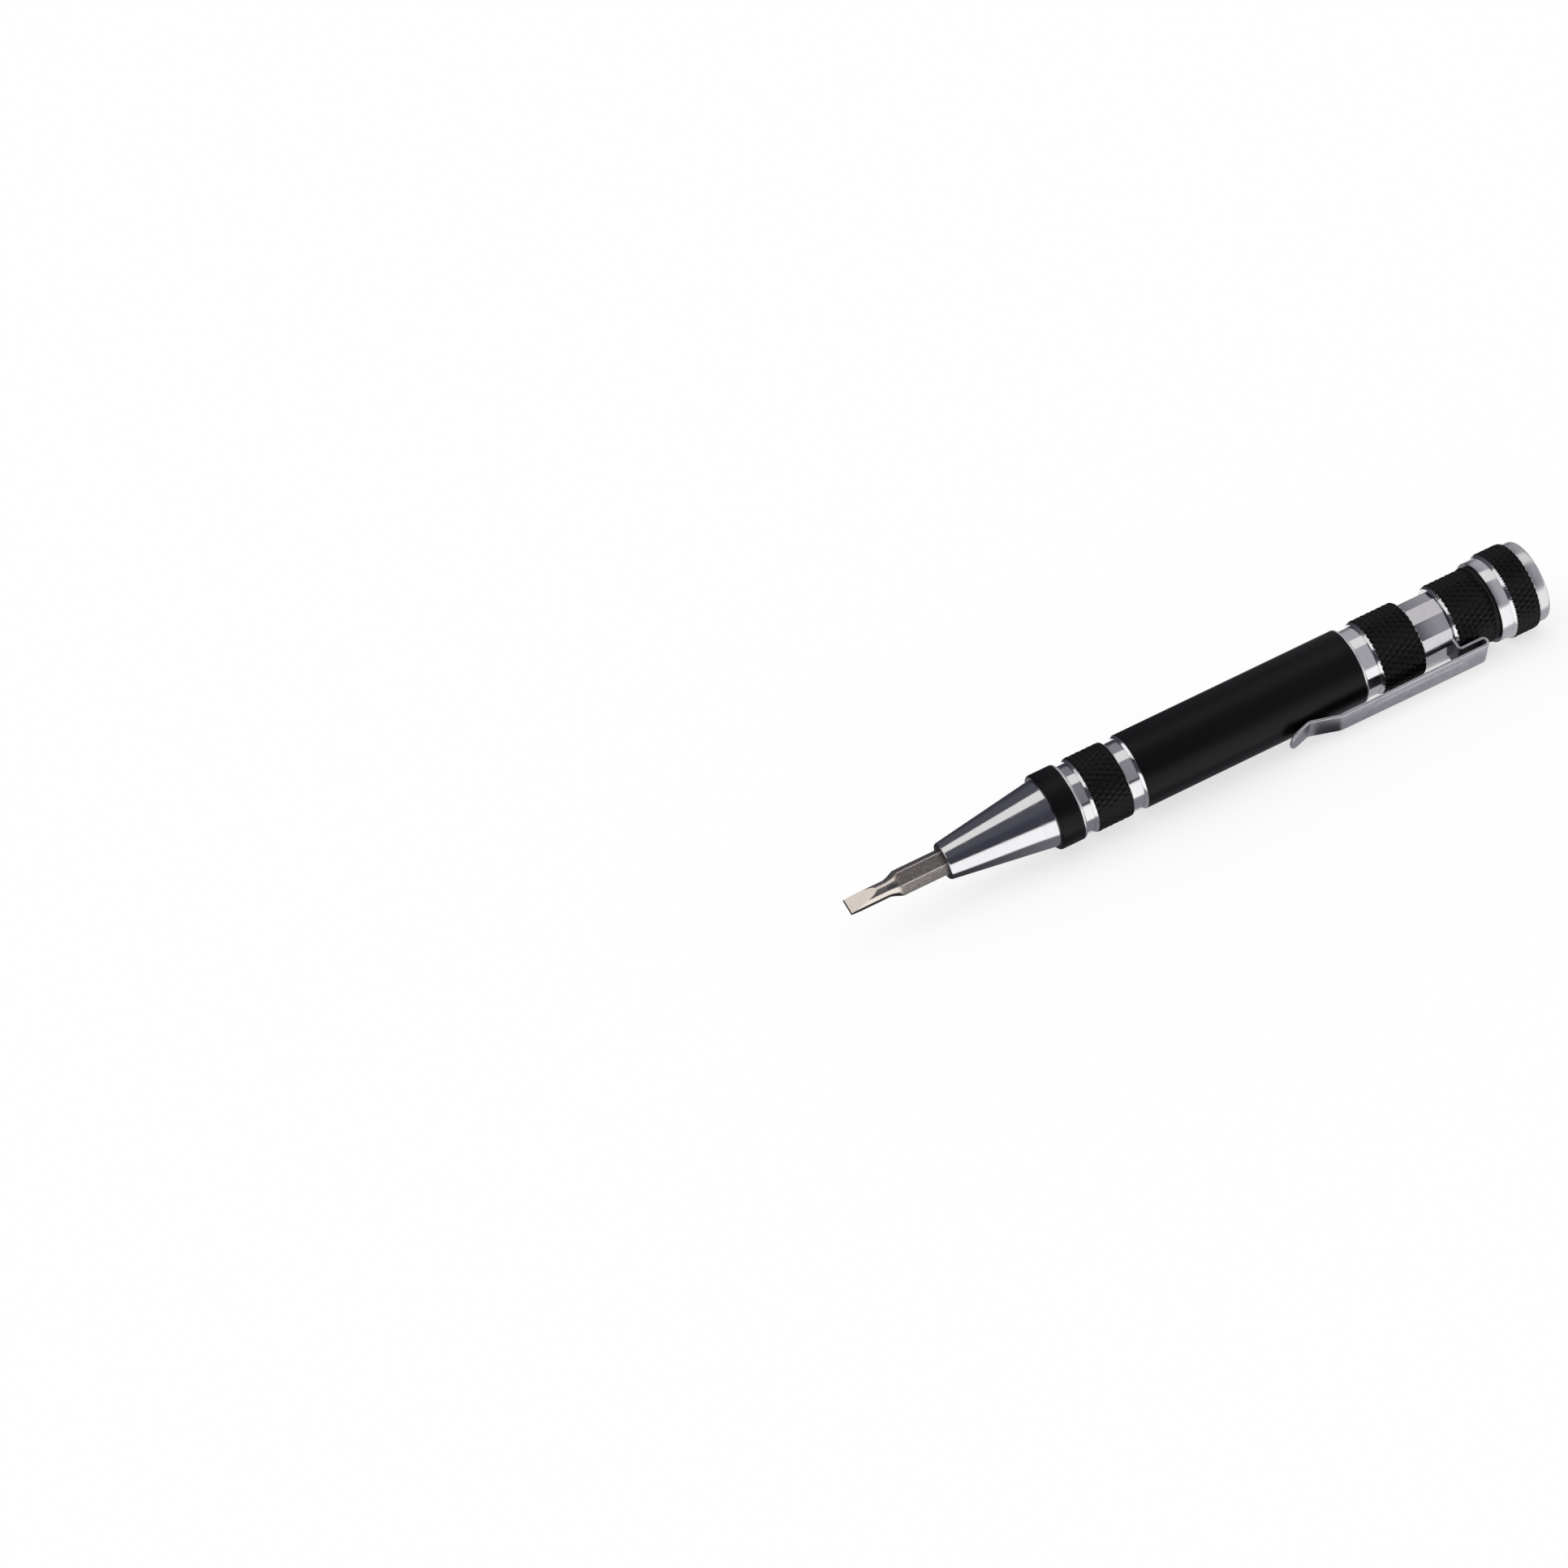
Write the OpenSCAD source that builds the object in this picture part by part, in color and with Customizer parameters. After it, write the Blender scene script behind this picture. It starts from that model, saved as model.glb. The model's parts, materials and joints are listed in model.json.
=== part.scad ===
// Pocket screwdriver: knurled pen body, pocket clip, swivelling finger rest and spare bits in the barrel.
// Each piece is drawn upright along +Z with the blade's tip at zero and the clip towards +X,
// and lay_down() then lays it on a table with its length along X.

/* [Bits] */
// Hexagon across flats of every bit
bit_af = 4; // [3.6:0.05:4.2]
// Overall length of every bit
bit_len = 28; // [25:0.5:30]
// Length of the bit in use that stands out of the nose
bit_out = 17.2; // [15:0.1:20]
// Length of blade and round neck ahead of the hexagon
neck_len = 9.3; // [7:0.1:12]
// Blade width of the bit in use
blade_w = 3; // [2:0.1:3.4]
// Blade thickness at the tip
blade_t = 0.4; // [0.3:0.05:0.8]
// Slope of each ground face of the blade
blade_slope = 13.2; // [10:0.2:18]
// Turn of the blade from the hexagon's flats
blade_turn = -14.5; // [-30:0.5:30]
// Turn of the bit and its socket about the axis, from the clip
bit_turn = -80; // [-180:1:180]

/* [Nose] */
// Length of the bright cone
cone_len = 18.4; // [14:0.1:24]
// Wall of the cone round the socket at its tip
cone_tip_wall = 0.45; // [0.3:0.05:1.2]
// Length of the cone's spigot inside the tube
spigot_len = 9; // [5:0.5:11]
// Thickness of the magnet under the bit
magnet_t = 3; // [1.5:0.1:4]

/* [Barrel] */
// Wall of the bright tube round the spare bits
tube_wall = 1.04; // [0.9:0.02:1.6]
// Wall of the smooth barrel sleeve
sleeve_wall = 0.64; // [0.6:0.02:1.2]
// Wall of the rings on the tube, over the knurl's crests
grip_wall = 0.69; // [0.6:0.01:1.2]
// Length of the smooth ring behind the cone
nose_ring_len = 4.65; // [3:0.05:6]
// Width of the bright band ahead of the front grip
nose_band = 1.6; // [1:0.1:4]
// Length of the front grip ring
front_grip_len = 6.95; // [4:0.05:9]
// Width of the bright band behind the front grip
front_band = 2.1; // [1:0.1:4]
// Width of the bright band behind the barrel sleeve
rear_band = 2.55; // [1:0.05:5]
// Length of the rear grip ring
rear_grip_len = 8.25; // [5:0.05:10]
// Length of the grip ring under the clip's root
clip_grip_len = 7.7; // [7.4:0.1:12]
// Step out to the flared rear end of that ring
flare_step = 0.1; // [0.05:0.05:0.5]
// Chamfer on the ring edges
ring_chamfer = 0.45; // [0.3:0.05:0.6]

/* [Clip] */
// Width of the band's space between its two rings
clip_gap = 5.9; // [4.5:0.1:8]
// Thickness of the clip's sheet
sheet = 0.5; // [0.4:0.05:0.6]
// Width of the clip at its root
clip_w = 5.56; // [4.5:0.02:6]
// Width of the clip at its tip
clip_tip_w = 4.6; // [3.5:0.1:5]
// Inside radius of the U-bend
bend_r = 0.46; // [0.3:0.02:0.8]
// Distance from the tube's rear end to the U-bend's back
clip_setback = 3.04; // [2.6:0.02:4.5]
// Straight run of the arm
arm_len = 26.9; // [20:0.1:34]
// Length of the dip to the barrel
dip_len = 5.4; // [4:0.1:8]
// Length of the turned-out tip
tip_len = 3.9; // [3:0.1:6]
// Rise of the turned-out tip
tip_rise = 1.2; // [0.8:0.1:2]
// Length of the pressed rib
rib_len = 17.4; // [10:0.1:18]
// Width of the pressed rib
rib_w = 1.9; // [1.2:0.1:2.6]

/* [Cap] */
// Step out from the flared ring to the cap's bright band
cap_step = 0.45; // [0.2:0.05:0.6]
// Width of the cap's bright band
cap_band = 2.1; // [1.5:0.1:4]
// Wall of the cap's knurled ring, over the knurl's crests
cap_grip_wall = 1.18; // [0.9:0.02:1.6]
// Length of the cap's knurled ring
cap_grip_len = 5; // [3:0.1:7]
// Length of the foam plug behind the spare bits
pad_len = 9.8; // [2:0.1:20]
// Length of the cap's threaded spigot
thread_len = 6.6; // [5.5:0.1:6.8]
// Thickness of the seal under the cap
seal_t = 0.4; // [0.3:0.05:0.8]
// Step in from the cap's bright band to the finger rest
rest_step = 0.04; // [0:0.02:0.6]
// Thickness of the finger rest
rest_t = 2; // [1.4:0.1:3]
// Diameter of the finger rest's stem
stem_d = 4; // [3:0.1:5]

/* [Hidden] */
$fn = 96;
// Clearances
press_gap = 0.02;
run_gap = 0.05;
thread_gap = 0.06;
hex_gap = 0.04;
end_gap = 0.1;
leg_gap = 0.25;
rest_gap = 0.18;
// Walls
socket_wall = 0.37;
groove_wall = 0.4;
thread_step = 0.2;
thread_wall = 1.4;
hub_step = 0.7;
edge = 0.25;
over = 1;

// Bits and their store
bit_r = bit_af / sqrt(3);
bit_spread = 0.08;
store_pitch_r = bit_r + bit_spread;
store_r = store_pitch_r + bit_r + end_gap;
hex_run_in = 2.2;
neck_relief = 0.1;
neck_d = blade_w - neck_relief;

// Nose
socket_bore_r = (bit_af / 2 + hex_gap) * 2 / sqrt(3);
socket_r = socket_bore_r + socket_wall;
socket_recess = 0.3;
magnet_z = bit_len + end_gap;
socket_end = magnet_z + magnet_t + end_gap;

// Stations along the axis
nose_z = bit_out;
tube_z = nose_z + cone_len;
front_grip_z = tube_z + nose_ring_len + nose_band;
barrel_z = front_grip_z + front_grip_len + front_band;
store_z = tube_z + spigot_len;
row_step = bit_len + end_gap;
pad_z = store_z + 2 * row_step + end_gap;
cap_end_z = pad_z + pad_len;
cap_z = cap_end_z + thread_len;
seat_z = cap_z - seal_t;
clip_grip_z = seat_z - clip_grip_len;
clip_z = clip_grip_z - clip_gap;
rear_grip_z = clip_z - rear_grip_len;
barrel_len = rear_grip_z - rear_band - barrel_z;
cap_grip_z = cap_z + cap_band;
rest_z = cap_grip_z + cap_grip_len + end_gap;
total_len = rest_z + rest_t;

// Tube, rings and cap
tube_r = store_r + tube_wall;
ring_bore_r = tube_r + press_gap;
barrel_r = ring_bore_r + sleeve_wall;
grip_r = ring_bore_r + grip_wall;
flare_r = grip_r + flare_step;
cap_r = flare_r + cap_step;
groove_r = store_r + groove_wall;
band_r = groove_r + press_gap;
thread_r = store_r + thread_step;
flare_len = 0.35;
flare_rise = 0.25;
hub_r = cap_r - hub_step;
cap_grip_r = hub_r + press_gap + cap_grip_wall;
cap_hollow_r = thread_r - thread_wall;
cap_web = 3;
cap_hollow_z = cap_z - cap_web;
stem_r = stem_d / 2;
retainer_t = 0.6;
retainer_depth = 0.4;
retainer_lip = 1.2;
retainer_groove_r = stem_r - retainer_depth;
retainer_r = stem_r + retainer_lip;
stem_tail = 0.5;

// Clip, in the plane through the axis: radius outwards and height along the axis
leg_r = grip_r + leg_gap;
bend_mid_r = bend_r + sheet / 2;
bend_x = leg_r + sheet + bend_r;
arm_mid = bend_x + bend_mid_r;
arm_face = arm_mid + sheet / 2;
bend_z = seat_z - clip_setback - bend_r - sheet;
bend_gap_angle = 10;
contact_mid = barrel_r + rest_gap + sheet / 2;
rib_rise = 0.15;
rib_back = 4.5;

// Pose on the table: the cap ring and the clip's corner both touch it
axis_z = cap_grip_r;
corner_r = sqrt(arm_face * arm_face + clip_w * clip_w / 4);
clip_roll = asin(axis_z / corner_r) - atan(clip_w / 2 / arm_face);
clip_reach = arm_face * cos(clip_roll) + clip_w / 2 * sin(clip_roll);
axis_y = (clip_reach - axis_z) / 2;

bright = [0.80, 0.80, 0.82];
black = [0.05, 0.05, 0.06];
steel = [0.45, 0.43, 0.41];
nickel = [0.62, 0.63, 0.66];
rubber = [0.08, 0.08, 0.08];

module lay_down() {
    translate([-total_len / 2, axis_y, axis_z])
        rotate([clip_roll - 90, 0, 0])
            rotate([0, 90, 0])
                children();
}

module turned(outline) {
    rotate_extrude() polygon(outline);
}

module bar(r, z0, z1) {
    translate([0, 0, z0]) cylinder(r = r, h = z1 - z0);
}

module hex_bar(r, z0, z1) {
    translate([0, 0, z0]) cylinder(r = r, h = z1 - z0, $fn = 6);
}

// A sleeve on the tube with both edges chamfered
module sleeve(bore_r, outer_r, z0, length, chamfer) {
    z1 = z0 + length;
    turned([
        [bore_r, z0], [outer_r - chamfer, z0], [outer_r, z0 + chamfer],
        [outer_r, z1 - chamfer], [outer_r - chamfer, z1], [bore_r, z1]
    ]);
}

// Hex shank with a coned run-in from the neck and a chamfered tail
module shank(neck_r) {
    intersection() {
        hex_bar(bit_r, neck_len - hex_run_in, bit_len);
        turned([
            [0, neck_len - hex_run_in], [neck_r, neck_len - hex_run_in], [bit_r, neck_len],
            [bit_r, bit_len - edge], [bit_r - edge, bit_len], [0, bit_len]
        ]);
    }
}

// Slotted bit: a round neck ground to a wedge on both faces
module slotted_bit(width, thickness, neck) {
    shank(neck / 2);
    rotate([0, 0, blade_turn]) difference() {
        bar(neck / 2, 0, neck_len);
        for (side = [-1, 1])
            translate([0, side * thickness / 2, 0])
                rotate([-side * blade_slope, 0, 0])
                    translate([0, side * neck / 2, 0])
                        cube([neck + over, neck, 2 * neck_len], center = true);
        for (side = [-1, 1])
            translate([side * (width / 2 + over), 0, 0])
                cube([2 * over, neck + over, neck_len], center = true);
    }
}

// Cross-head bit: a coned neck with four flutes
module cross_bit(size) {
    tip_r = size * 0.14;
    point_len = size * 0.95;
    flute = size * 0.42;
    flute_lean = 22;
    shank(size / 2);
    difference() {
        turned([[0, 0], [tip_r, 0], [size / 2, point_len], [size / 2, neck_len], [0, neck_len]]);
        for (turn = [0:90:270])
            rotate([0, 0, turn + 45])
                translate([size * 0.2, 0, -over])
                    rotate([0, flute_lean, 0])
                        rotate([0, 0, 45])
                            translate([0, -flute, 0])
                                cube([flute * 2, flute * 2, point_len * 2 + over]);
    }
}

// A spare bit's place: three to a layer, corner to corner on the axis
module in_store(layer, place) {
    rotate([0, 0, place * 120])
        translate([store_pitch_r, 0, store_z + end_gap + layer * row_step])
            children();
}

module nose_cone() {
    tip_r = socket_r + press_gap + cone_tip_wall;
    color(bright) lay_down() difference() {
        turned([
            [0, nose_z], [tip_r - edge, nose_z], [tip_r, nose_z + edge], [tube_r - press_gap, tube_z],
            [store_r - press_gap, tube_z], [store_r - press_gap, store_z - edge],
            [store_r - press_gap - edge, store_z], [0, store_z]
        ]);
        bar(socket_r + press_gap, nose_z - over, socket_end);
    }
}

module bit_socket() {
    color(steel) lay_down() difference() {
        bar(socket_r, nose_z + socket_recess, socket_end);
        rotate([0, 0, bit_turn + 90]) hex_bar(socket_bore_r, nose_z - over, socket_end + over);
    }
}

module socket_magnet() {
    color(nickel) lay_down() bar(bit_af / 2 - run_gap, magnet_z, magnet_z + magnet_t);
}

module driver_bit() {
    color(steel) lay_down() rotate([0, 0, bit_turn + 90]) slotted_bit(blade_w, blade_t, neck_d);
}

module core_tube() {
    groove_z1 = clip_z + clip_gap;
    thread_z = cap_end_z - end_gap;
    color(bright) lay_down() turned([
        [store_r, tube_z], [tube_r, tube_z], [tube_r, clip_z], [groove_r, clip_z], [groove_r, groove_z1],
        [tube_r, groove_z1], [tube_r, seat_z], [thread_r, seat_z], [thread_r, thread_z], [store_r, thread_z]
    ]);
}

module nose_ring() {
    color(black) lay_down() sleeve(ring_bore_r, grip_r, tube_z, nose_ring_len, ring_chamfer);
}

module front_grip_ring() {
    color(black) lay_down() sleeve(ring_bore_r, grip_r, front_grip_z, front_grip_len, ring_chamfer);
}

module barrel_sleeve() {
    color(black) lay_down() sleeve(ring_bore_r, barrel_r, barrel_z, barrel_len, ring_chamfer);
}

module rear_grip_ring() {
    color(black) lay_down() sleeve(ring_bore_r, grip_r, rear_grip_z, rear_grip_len, ring_chamfer);
}

module clip_grip_ring() {
    flare_z = seat_z - flare_len;
    color(black) lay_down() turned([
        [ring_bore_r, clip_grip_z], [grip_r - ring_chamfer, clip_grip_z], [grip_r, clip_grip_z + ring_chamfer],
        [grip_r, flare_z - flare_rise], [flare_r, flare_z], [flare_r, seat_z - edge], [flare_r - edge, seat_z],
        [ring_bore_r, seat_z]
    ]);
}

// Corners of the arm's mean line after the U-bend, as [radius, height]
arm_bends = [
    [arm_mid, bend_z],
    [arm_mid, bend_z - arm_len],
    [contact_mid, bend_z - arm_len - dip_len],
    [contact_mid + tip_rise, bend_z - arm_len - dip_len - tip_len]
];

function unit(v) = v / norm(v);
function left_of(v) = [-v[1], v[0]];

// Points of the mean line: the U-bend, then the arm with each corner rounded as a parabola
bend_reach = 0.7;
bend_steps = 8;
bend_step = 10;
bend_centre = [bend_x, bend_z];
function corner(i, t) =
    let (p = arm_bends[i], a = p + bend_reach * unit(arm_bends[i - 1] - p),
         b = p + bend_reach * unit(arm_bends[i + 1] - p))
    (1 - t) * (1 - t) * a + 2 * t * (1 - t) * p + t * t * b;
arm_line = concat(
    [for (a = [180 - bend_gap_angle:-bend_step:bend_step]) bend_centre + bend_mid_r * [cos(a), sin(a)]],
    [arm_bends[0]],
    [for (i = [1, 2]) for (k = [0:bend_steps]) corner(i, k / bend_steps)],
    [arm_bends[3]]
);
last = len(arm_line) - 1;
function heading(i) = unit(arm_line[min(i + 1, last)] - arm_line[max(i - 1, 0)]);
function arm_side(i, side) = arm_line[i] + side * sheet / 2 * left_of(heading(i));
arm_outline = concat(
    [for (i = [0:last]) arm_side(i, 1)],
    [for (i = [last:-1:0]) arm_side(i, -1)]
);

// Turns an outline of [radius, height] into a strip across the clip
module strip(width) {
    rotate([90, 0, 0]) linear_extrude(height = width, center = true) children();
}

// Outline of the arm seen on its face, tapered with a rounded tip
module arm_face_outline() {
    tip_z = arm_line[last][1];
    round_r = clip_tip_w * 0.36;
    taper_z = bend_z - arm_len / 3;
    wide = clip_w / 2;
    slim = clip_tip_w / 2;
    polygon(concat(
        [[bend_z + over, -wide], [bend_z + over, wide], [taper_z, wide]],
        [for (a = [0:15:90]) [tip_z + round_r - round_r * sin(a), slim - round_r + round_r * cos(a)]],
        [for (a = [90:-15:0]) [tip_z + round_r - round_r * sin(a), -slim + round_r - round_r * cos(a)]],
        [[taper_z, -wide]]
    ));
}

module rib() {
    rib_z = bend_z + bend_r + sheet - rib_back;
    for (z = [rib_z - rib_w / 2, rib_z - rib_len + rib_w / 2])
        translate([arm_mid, 0, z])
            rotate([0, 90, 0])
                cylinder(r = rib_w / 2, h = sheet / 2 + rib_rise);
    translate([arm_mid, -rib_w / 2, rib_z - rib_len + rib_w / 2])
        cube([sheet / 2 + rib_rise, rib_w, rib_len - rib_w]);
}

module clip_band() {
    band_z0 = clip_z + end_gap;
    band_z1 = clip_grip_z - end_gap;
    color(nickel) lay_down() difference() {
        union() {
            bar(band_r + sheet, band_z0, band_z1);
            translate([0, -clip_w / 2, band_z1 - sheet]) cube([leg_r + sheet, clip_w, sheet]);
            translate([leg_r, -clip_w / 2, band_z1 - sheet]) cube([sheet, clip_w, bend_z - band_z1 + sheet]);
        }
        bar(band_r, clip_z, clip_grip_z);
    }
}

module clip_arm() {
    color(nickel) lay_down() {
        intersection() {
            strip(clip_w) polygon(arm_outline);
            rotate([0, -90, 0]) linear_extrude(height = 4 * arm_mid, center = true) arm_face_outline();
        }
        rib();
    }
}

module cap_seal() {
    color(rubber) lay_down() difference() {
        bar(flare_r - edge, seat_z, cap_z);
        bar(thread_r, seat_z - over, cap_z + over);
    }
}

module cap_body() {
    spigot_r = thread_r - thread_gap;
    bore_r = stem_r + run_gap;
    top_z = cap_grip_z + cap_grip_len;
    color(bright) lay_down() turned([
        [cap_hollow_r, cap_end_z], [spigot_r - edge, cap_end_z], [spigot_r, cap_end_z + edge], [spigot_r, cap_z],
        [cap_r, cap_z], [cap_r, cap_grip_z], [hub_r, cap_grip_z], [hub_r, top_z], [bore_r, top_z],
        [bore_r, cap_hollow_z], [cap_hollow_r, cap_hollow_z]
    ]);
}

module cap_grip_ring() {
    color(black) lay_down() sleeve(hub_r + press_gap, cap_grip_r, cap_grip_z, cap_grip_len, ring_chamfer);
}

module cap_pad() {
    color(rubber) lay_down() bar(store_r - 3 * end_gap, pad_z, cap_end_z);
}

module finger_rest() {
    r = cap_r - rest_step;
    round_r = 0.6;
    stem_end = cap_hollow_z - end_gap - retainer_t - stem_tail;
    groove_z0 = cap_hollow_z - end_gap - retainer_t - press_gap;
    groove_z1 = cap_hollow_z - end_gap + press_gap;
    color(bright) lay_down() turned(concat(
        [[0, stem_end], [stem_r, stem_end], [stem_r, groove_z0], [retainer_groove_r, groove_z0],
         [retainer_groove_r, groove_z1], [stem_r, groove_z1], [stem_r, rest_z], [r, rest_z]],
        [for (a = [0:15:90]) [r - round_r + round_r * cos(a), total_len - round_r + round_r * sin(a)]],
        [[0, total_len]]
    ));
}

module rest_retaining_ring() {
    z1 = cap_hollow_z - end_gap;
    mouth = retainer_groove_r * 1.5;
    color(steel) lay_down() difference() {
        bar(retainer_r, z1 - retainer_t, z1);
        bar(retainer_groove_r + press_gap, z1 - retainer_t - over, z1 + over);
        translate([0, -mouth / 2, z1 - retainer_t - over]) cube([2 * retainer_r, mouth, retainer_t + 2 * over]);
    }
}

module spare_slotted_fine() {
    color(steel) lay_down() in_store(0, 0) slotted_bit(1.5, 0.3, 2.2);
}

module spare_slotted_medium() {
    color(steel) lay_down() in_store(0, 1) slotted_bit(2, 0.4, 2.4);
}

module spare_cross_tiny() {
    color(steel) lay_down() in_store(0, 2) cross_bit(1.5);
}

module spare_cross_small() {
    color(steel) lay_down() in_store(1, 0) cross_bit(2);
}

module spare_cross_medium() {
    color(steel) lay_down() in_store(1, 1) cross_bit(2.5);
}

module spare_cross_large() {
    color(steel) lay_down() in_store(1, 2) cross_bit(3);
}

nose_cone();
bit_socket();
socket_magnet();
driver_bit();
core_tube();
nose_ring();
front_grip_ring();
barrel_sleeve();
rear_grip_ring();
clip_grip_ring();
clip_band();
clip_arm();
cap_seal();
cap_body();
cap_grip_ring();
cap_pad();
finger_rest();
rest_retaining_ring();
spare_slotted_fine();
spare_slotted_medium();
spare_cross_tiny();
spare_cross_small();
spare_cross_medium();
spare_cross_large();
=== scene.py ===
import json
import math

import bmesh
import bpy
from mathutils import Matrix, Vector


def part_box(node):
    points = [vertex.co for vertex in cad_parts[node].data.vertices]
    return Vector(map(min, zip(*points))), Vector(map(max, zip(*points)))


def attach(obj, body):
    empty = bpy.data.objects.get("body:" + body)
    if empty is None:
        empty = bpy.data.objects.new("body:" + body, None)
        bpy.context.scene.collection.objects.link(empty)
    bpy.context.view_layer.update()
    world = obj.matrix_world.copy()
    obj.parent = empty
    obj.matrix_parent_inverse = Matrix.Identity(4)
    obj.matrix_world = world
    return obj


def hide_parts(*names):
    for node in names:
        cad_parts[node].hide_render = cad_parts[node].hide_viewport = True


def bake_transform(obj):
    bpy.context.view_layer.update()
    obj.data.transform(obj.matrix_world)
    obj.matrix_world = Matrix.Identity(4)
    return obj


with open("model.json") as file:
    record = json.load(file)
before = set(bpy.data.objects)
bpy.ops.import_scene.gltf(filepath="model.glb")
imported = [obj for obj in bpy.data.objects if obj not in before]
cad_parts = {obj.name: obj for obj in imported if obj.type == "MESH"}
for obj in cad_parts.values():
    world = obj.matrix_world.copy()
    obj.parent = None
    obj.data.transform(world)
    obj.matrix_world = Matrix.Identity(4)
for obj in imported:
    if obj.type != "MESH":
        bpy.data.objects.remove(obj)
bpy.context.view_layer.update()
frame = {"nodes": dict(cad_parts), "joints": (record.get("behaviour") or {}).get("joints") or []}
print("frame loaded:", len(frame["nodes"]), "nodes")

mm = 0.001
scene = bpy.context.scene
scene.view_settings.view_transform = "Standard"

# the axis lies along X, stations are counted in mm from the blade's tip, and the clip points outwards
flexJoint = next(joint for joint in frame["joints"] if joint["name"] == "clip_flex")
sleeveLow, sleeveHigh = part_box("barrel_sleeve")
axisY = (sleeveLow.y + sleeveHigh.y) / 2
axisZ = (sleeveLow.z + sleeveHigh.z) / 2
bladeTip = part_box("driver_bit")[0].x
clipSide = -Vector(flexJoint["axis"])
clipOut = clipSide.cross(Vector((1, 0, 0)))


def spot(station, out, side):
    onAxis = Vector((bladeTip + station * mm, axisY, axisZ))
    return onAxis + (clipOut * out + clipSide * side) * mm


def ends(node):
    low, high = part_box(node)
    return (low.x - bladeTip) / mm, (high.x - bladeTip) / mm


def radius(node):
    low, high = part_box(node)
    return (high.z - low.z) / 2 / mm


# a socket that takes plain sums
class Value:
    def __init__(self, web, socket):
        self.web = web
        self.socket = socket

    def also(self, name):
        return Value(self.web, self.socket.node.outputs[name])

    def sum(self, operation, *terms):
        return self.web.add("ShaderNodeMath", {"operation": operation}, dict(enumerate(terms)))

    def __add__(self, other):
        return self.sum("ADD", self, other)

    def __radd__(self, other):
        return self.sum("ADD", other, self)

    def __sub__(self, other):
        return self.sum("SUBTRACT", self, other)

    def __rsub__(self, other):
        return self.sum("SUBTRACT", other, self)

    def __mul__(self, other):
        return self.sum("MULTIPLY", self, other)

    def __rmul__(self, other):
        return self.sum("MULTIPLY", other, self)

    def __truediv__(self, other):
        return self.sum("DIVIDE", self, other)

    def __rtruediv__(self, other):
        return self.sum("DIVIDE", other, self)

    def __pow__(self, other):
        return self.sum("POWER", self, other)

    def __rpow__(self, other):
        return self.sum("POWER", other, self)

    def __lt__(self, other):
        return self.sum("LESS_THAN", self, other)

    def __gt__(self, other):
        return self.sum("GREATER_THAN", self, other)

    def __abs__(self):
        return self.sum("ABSOLUTE", self)

    def least(self, other):
        return self.sum("MINIMUM", self, other)

    def most(self, other):
        return self.sum("MAXIMUM", self, other)


# a node tree, with one way to add any node
class Web:
    def __init__(self, tree):
        self.tree = tree

    def add(self, kind, settings=None, sockets=None, out=0):
        node = self.tree.nodes.new(kind)
        for name, value in (settings or {}).items():
            setattr(node, name, value)
        for key, value in (sockets or {}).items():
            self.feed(node.inputs[key], value)
        return Value(self, node.outputs[out]) if node.outputs else node

    def feed(self, socket, value):
        if isinstance(value, Value):
            self.tree.links.new(value.socket, socket)
        else:
            socket.default_value = value

    def mix(self, share, first, second):
        colours = {0: share, 6: first, 7: second}
        return self.add("ShaderNodeMix", {"data_type": "RGBA"}, colours, out=2)

    def ramp(self, value, low, high, start=0, stop=1):
        sockets = {"Value": value, "From Min": low, "From Max": high, "To Min": start, "To Max": stop}
        return self.add("ShaderNodeMapRange", {"interpolation_type": "SMOOTHSTEP"}, sockets)

    def fade(self, value, low, high):
        return self.ramp(value, low, high, 1, 0)

    # 1 between the inner two values, easing to 0 at the outer two
    def window(self, value, low, lowFull, highFull, high):
        return self.ramp(value, low, lowFull) * self.fade(value, highFull, high)

    def grain(self, place, size, detail=2, rough=0.5):
        sockets = {"Vector": place, "Scale": 1 / (size * mm), "Detail": detail, "Roughness": rough}
        return self.add("ShaderNodeTexNoise", None, sockets)

    def bump(self, height, depth, strength=1):
        sockets = {"Strength": strength, "Distance": depth * mm, "Height": height}
        return self.add("ShaderNodeBump", None, sockets, out="Normal")

    def place(self):
        return self.add("ShaderNodeTexCoord", None, None, out="Object")

    # (along, out from the axis, 0): lines drawn on it run round a turned piece
    def turnedPlace(self):
        parts = self.add("ShaderNodeSeparateXYZ", None, {0: self.place()})
        across = parts.also("Y") - axisY
        upward = parts.also("Z") - axisZ
        outward = (across * across + upward * upward) ** 0.5
        return self.add("ShaderNodeCombineXYZ", None, {0: parts, 1: outward})

    def stretched(self, scale):
        return self.add("ShaderNodeMapping", None, {"Vector": self.place(), "Scale": scale})


def newFinish(name, sockets):
    material = bpy.data.materials.new(name)
    material.use_nodes = True
    web = Web(material.node_tree)
    shader = material.node_tree.nodes["Principled BSDF"]
    for key, value in sockets(web).items():
        web.feed(shader.inputs[key], value)
    return material


# polished metal with turning lines
def turnedMetal(name, pale, dark, gloss, lineDepth):
    def sockets(web):
        lines = web.grain(web.turnedPlace(), 0.16, 3, 0.65)
        broad = web.grain(web.turnedPlace(), 0.9, 2)
        smudge = web.grain(web.place(), 2.4, 3, 0.6)
        marks = web.ramp(lines, 0.35, 0.75)
        return {
            "Base Color": web.mix(marks * 0.5 + broad * 0.3, pale, dark),
            "Metallic": 1.0,
            "Roughness": gloss + marks * 0.05 + web.ramp(smudge, 0.45, 0.8) * 0.06,
            "Normal": web.bump(lines + broad, lineDepth, 0.5),
        }
    return newFinish(name, sockets)


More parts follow.
